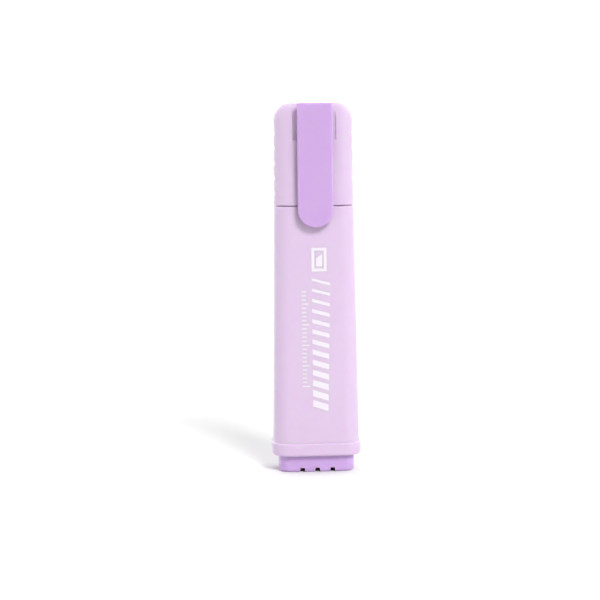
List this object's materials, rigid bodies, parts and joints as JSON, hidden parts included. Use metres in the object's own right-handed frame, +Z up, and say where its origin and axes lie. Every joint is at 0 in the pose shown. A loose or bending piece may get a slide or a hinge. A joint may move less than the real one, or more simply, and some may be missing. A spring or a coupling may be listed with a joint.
{
  "type": "highlighter pen",
  "caption": "Flat-bodied chisel-tip highlighter with a pull-off cap, a sprung pocket clip, a flanged barrel and a notched end plug that it stands on.",
  "frame": {"origin": "on the surface the pen stands on, under the middle of the whole object's box", "axes": "+Z up along the pen from the end plug to the cap, +X across its width, -Y to the front where the clip is"},
  "size_m": [0.0272, 0.0196, 0.112],
  "materials": {
    "body_plastic": "satin moulded pale lilac polypropylene",
    "cap_plastic": "satin moulded pale lilac polypropylene",
    "plug_plastic": "satin moulded lilac polypropylene",
    "clip_plastic": "satin moulded lilac polypropylene",
    "holder_plastic": "matte moulded lilac polypropylene",
    "liner_plastic": "matte moulded white polyethylene",
    "nib_fibre": "bonded polyester fibre soaked with lilac ink",
    "ink_fibre": "polyester fibre bundle soaked with lilac ink",
    "film": "clear polypropylene film"
  },
  "bodies": {
    "pen_body": {"barrel": "body_plastic", "end_plug": "plug_plastic", "reservoir_core": "ink_fibre", "reservoir_film": "film", "nib_holder": "holder_plastic", "nib": "nib_fibre"},
    "cap": {"cap_shell": "cap_plastic", "inner_cap": "liner_plastic"},
    "pocket_clip": {"clip": "clip_plastic"}
  },
  "joints": [
    {"name": "cap_pull", "type": "slide", "parent": "pen_body", "child": "cap", "axis": [0, 0, 1], "range_m": [0, 0.04]},
    {"name": "clip_flex", "type": "hinge", "parent": "cap", "child": "pocket_clip", "pos_m": [0, -0.00573, 0.108], "axis": [-1, 0, 0], "range_deg": [0, 3], "stiffness_Nm_per_rad": 0.9}
  ]
}
